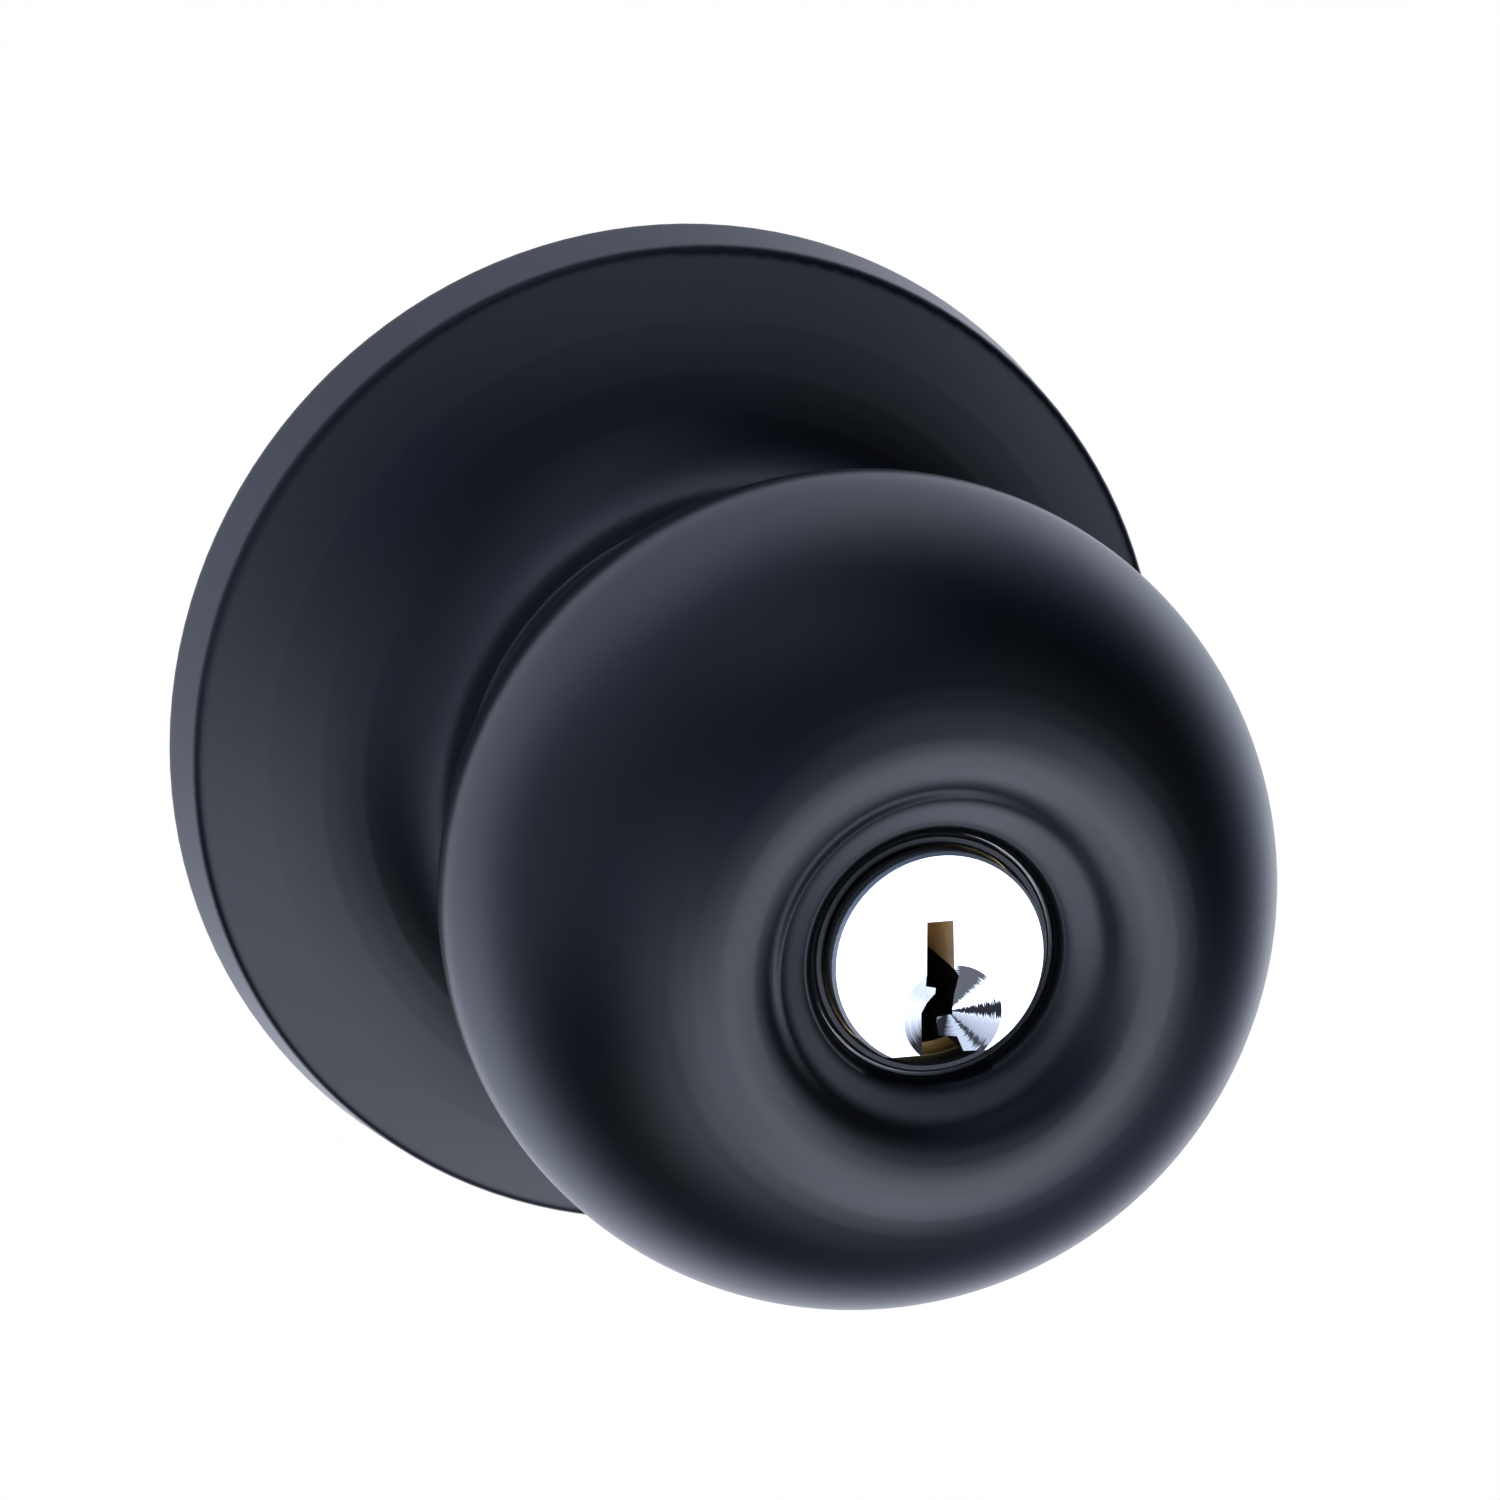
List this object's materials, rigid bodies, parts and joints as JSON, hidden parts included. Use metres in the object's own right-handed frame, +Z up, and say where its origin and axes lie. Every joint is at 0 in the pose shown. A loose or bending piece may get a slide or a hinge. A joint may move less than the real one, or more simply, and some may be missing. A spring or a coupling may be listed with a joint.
{
  "type": "keyed entry door knob",
  "caption": "Black ball door knob with a stepped round rose and a keyed pin-tumbler cylinder in the knob, with spring cage, spindle and tailpiece.",
  "frame": {"origin": "on the knob's axis, in the plane of the door's face", "axes": "-Y out of the door along the knob's axis, +Z up, +X to the right as seen from outside"},
  "size_m": [0.0664, 0.1291, 0.0664],
  "materials": {
    "black_finish": "matte satin black over steel",
    "plated_steel": "zinc plated, dull",
    "nylon": "natural moulded nylon",
    "spring_steel": "oiled spring steel",
    "zinc_casting": "die-cast zinc alloy, grainy",
    "black_steel": "black oxide over hardened steel",
    "brass": "turned and broached",
    "chromed_plug": "bright chrome on the face, bare brass behind it"
  },
  "bodies": {
    "rose_assembly": {"rose": "black_finish", "mounting_plate": "plated_steel", "spring_cage": "plated_steel", "cage_rivets": "plated_steel", "mounting_posts": "plated_steel", "bearing_bushing": "nylon", "thrust_washer": "nylon", "return_spring": "spring_steel"},
    "knob": {"knob_shell": "black_finish", "knob_neck": "black_finish", "knob_insert": "zinc_casting", "retaining_ring": "spring_steel", "drive_plate": "plated_steel", "spindle": "plated_steel", "spindle_clip": "spring_steel", "cylinder_collar": "black_steel", "cylinder_body": "brass", "chamber_cover": "brass", "driver_pins": "brass", "pin_springs": "spring_steel", "cylinder_retainer": "plated_steel", "retainer_screws": "plated_steel"},
    "plug": {"plug": "chromed_plug", "key_pins": "brass", "plug_clip": "spring_steel", "tailpiece": "plated_steel", "tailpiece_pin": "spring_steel"}
  },
  "joints": [
    {"name": "knob_turn", "type": "hinge", "parent": "rose_assembly", "child": "knob", "pos_m": [0, 0, 0], "axis": [0, -1, 0], "range_deg": [-60, 60], "stiffness_Nm_per_rad": 0.3, "deforming": ["return_spring"]},
    {"name": "plug_turn", "type": "hinge", "parent": "knob", "child": "plug", "pos_m": [0, 0, 0], "axis": [0, -1, 0], "range_deg": [-90, 90]}
  ]
}
